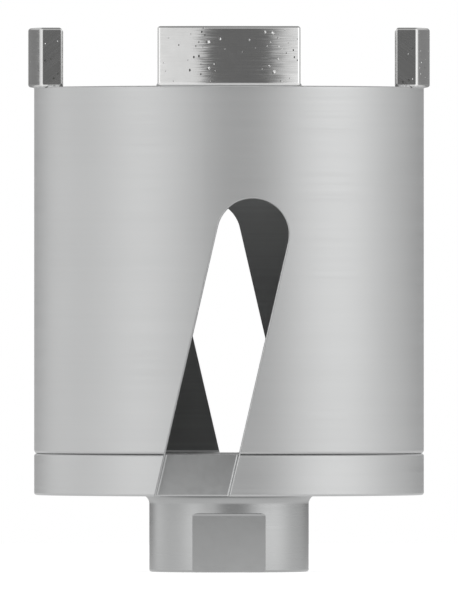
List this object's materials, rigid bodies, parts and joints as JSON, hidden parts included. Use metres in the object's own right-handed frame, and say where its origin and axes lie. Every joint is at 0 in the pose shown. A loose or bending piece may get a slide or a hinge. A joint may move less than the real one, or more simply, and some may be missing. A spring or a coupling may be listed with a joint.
{
  "type": "diamond core bit",
  "caption": "Dry diamond core bit: a thin steel barrel with leaning slots and diamond segments on its rim, on a flanged hub with a threaded boss and spanner flats.",
  "frame": {"origin": "centre of the boss's end face, where the bit stands and where a drill spindle screws in", "axes": "+Z along the axis of rotation, from the threaded boss to the cutting segments; -Y towards the front slot, whose top leans to +X"},
  "size_m": [0.068, 0.068, 0.092],
  "materials": {
    "barrel_steel": "satin, finely brushed round the axis",
    "hub_steel": "satin, finely turned",
    "segment_metal": "ground sintered metal with diamond grit, bright and pitted"
  },
  "bodies": {
    "root": {"barrel": "barrel_steel", "hub": "hub_steel", "segment_front": "segment_metal", "segment_right": "segment_metal", "segment_back": "segment_metal", "segment_left": "segment_metal"}
  },
  "joints": []
}
